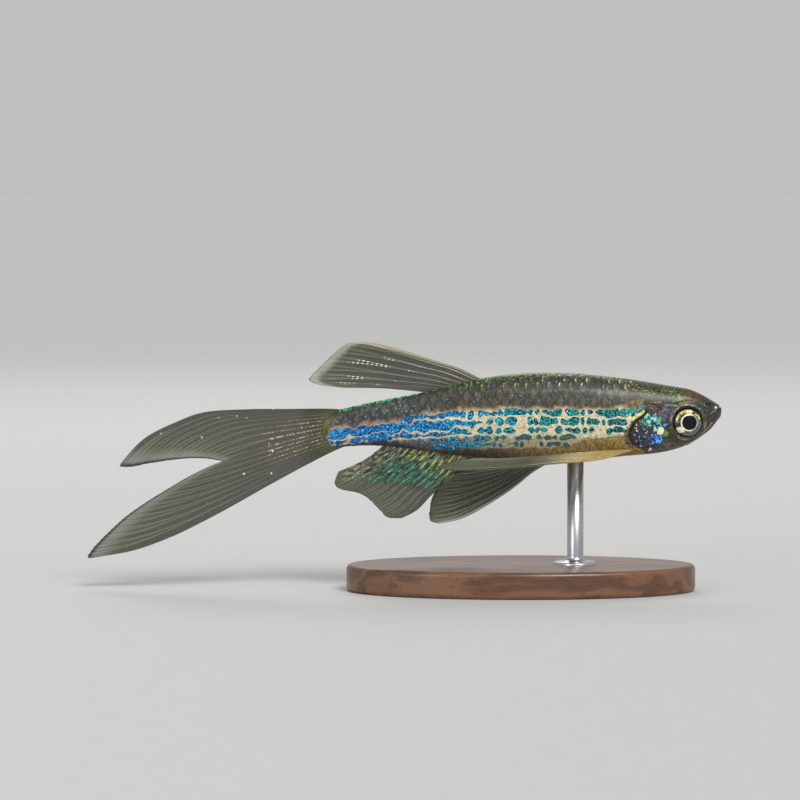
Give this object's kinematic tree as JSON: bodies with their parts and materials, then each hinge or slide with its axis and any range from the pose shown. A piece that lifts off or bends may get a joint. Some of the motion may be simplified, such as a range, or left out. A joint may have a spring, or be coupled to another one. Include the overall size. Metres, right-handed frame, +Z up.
{
  "type": "longfin leopard zebra danio model",
  "caption": "Life-size still model of a small spotted aquarium fish with long flowing fins, level in mid swim on a low oval base with one rod.",
  "frame": {"origin": "middle of the flat underside of the display stand's oval base", "axes": "+X towards the fish's snout, +Y to its left, +Z up"},
  "size_m": [0.0615, 0.02, 0.0243],
  "materials": {
    "scaled_skin": "wet, scaled, with blue spots in a cream net",
    "head_skin": "wet, smooth, olive brown with blue and green flecks",
    "eye": "glossy, black pupil in a silver and gold ring",
    "fin_membrane": "wet, thin, ribbed by its rays",
    "stand_wood": "oiled dark walnut",
    "stand_steel": "satin"
  },
  "bodies": {
    "root": {"torso": "scaled_skin", "tail_stem": "scaled_skin", "head": "head_skin", "gill_cover_right": "head_skin", "gill_cover_left": "head_skin", "eye_right": "eye", "eye_left": "eye", "dorsal_fin": "fin_membrane", "anal_fin": "fin_membrane", "tail_fin_upper": "fin_membrane", "tail_fin_lower": "fin_membrane", "pelvic_fin_right": "fin_membrane", "pelvic_fin_left": "fin_membrane", "pectoral_fin_right": "fin_membrane", "pectoral_fin_left": "fin_membrane", "stand_base": "stand_wood", "stand_rod": "stand_steel"}
  },
  "joints": []
}
